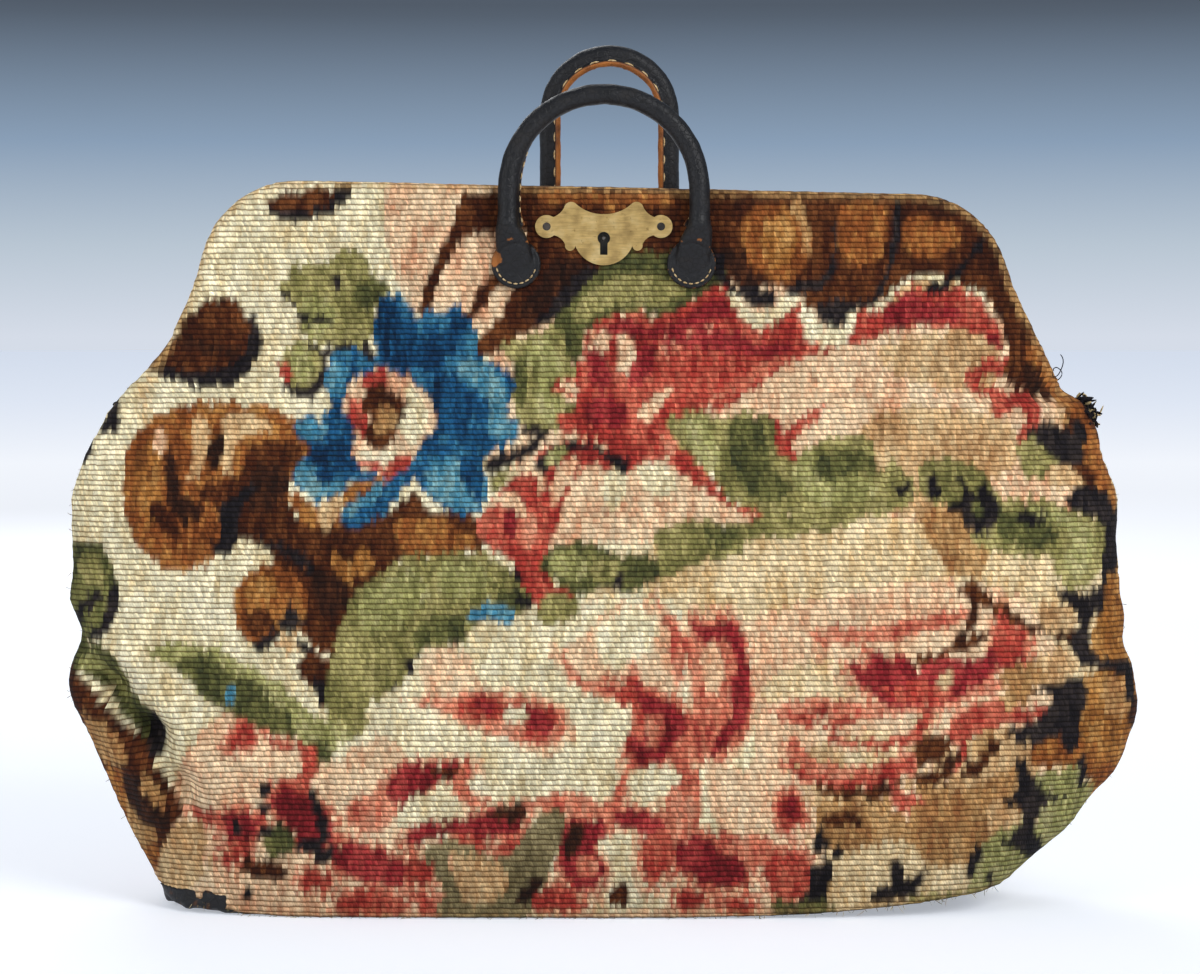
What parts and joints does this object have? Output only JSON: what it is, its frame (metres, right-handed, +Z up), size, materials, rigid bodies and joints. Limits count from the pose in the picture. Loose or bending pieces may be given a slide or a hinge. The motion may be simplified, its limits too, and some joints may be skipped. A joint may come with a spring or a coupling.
{
  "type": "carpet bag",
  "caption": "Carpet travelling bag: floral looped-pile faces on a hinged iron frame, rolled leather handles, brass lock plate and a black leather base.",
  "frame": {"origin": "middle of the flat of the leather base, on the surface that the bag stands on", "axes": "+X along the bag, to the right as seen from the lock side; -Y is the front face with the lock; +Z up"},
  "size_m": [0.5605, 0.1202, 0.449],
  "materials": {
    "carpet": "matte",
    "lining_cloth": "matte",
    "base_leather": "satin",
    "handle_leather": "satin",
    "cord": "matte",
    "millboard": "matte",
    "frame_iron": "matte",
    "rivet_iron": "satin",
    "lock_brass": "satin",
    "lock_iron": "satin"
  },
  "bodies": {
    "bag_body": {"front_panel": "carpet", "rear_panel": "carpet", "base_leather": "base_leather", "base_board": "millboard", "bag_lining": "lining_cloth", "hinge_pin_left": "rivet_iron", "hinge_pin_right": "rivet_iron"},
    "front_half": {"front_frame": "frame_iron", "front_panel_top": "carpet", "front_lining_top": "lining_cloth", "front_handle": "handle_leather", "front_handle_core": "cord", "lock_plate": "lock_brass", "lock_backplate": "lock_iron", "lock_case": "lock_iron", "lock_spring": "lock_iron", "lock_drill_pin": "lock_iron", "lock_rivet_left": "rivet_iron", "lock_rivet_right": "rivet_iron"},
    "rear_half": {"rear_frame": "frame_iron", "rear_panel_top": "carpet", "rear_lining_top": "lining_cloth", "rear_handle": "handle_leather", "rear_handle_core": "cord", "lock_staple": "lock_iron", "staple_rivet_left": "rivet_iron", "staple_rivet_right": "rivet_iron"},
    "bolt": {"lock_bolt": "lock_iron"}
  },
  "joints": [
    {"name": "front_half_hinge", "type": "hinge", "parent": "bag_body", "child": "front_half", "pos_m": [0, 0, 0.264], "axis": [1, 0, 0], "range_deg": [0, 40]},
    {"name": "rear_half_hinge", "type": "hinge", "parent": "bag_body", "child": "rear_half", "pos_m": [0, 0, 0.264], "axis": [-1, 0, 0], "range_deg": [0, 40]},
    {"name": "bolt_slide", "type": "slide", "parent": "front_half", "child": "bolt", "axis": [1, 0, 0], "range_m": [0, 0.006]}
  ]
}
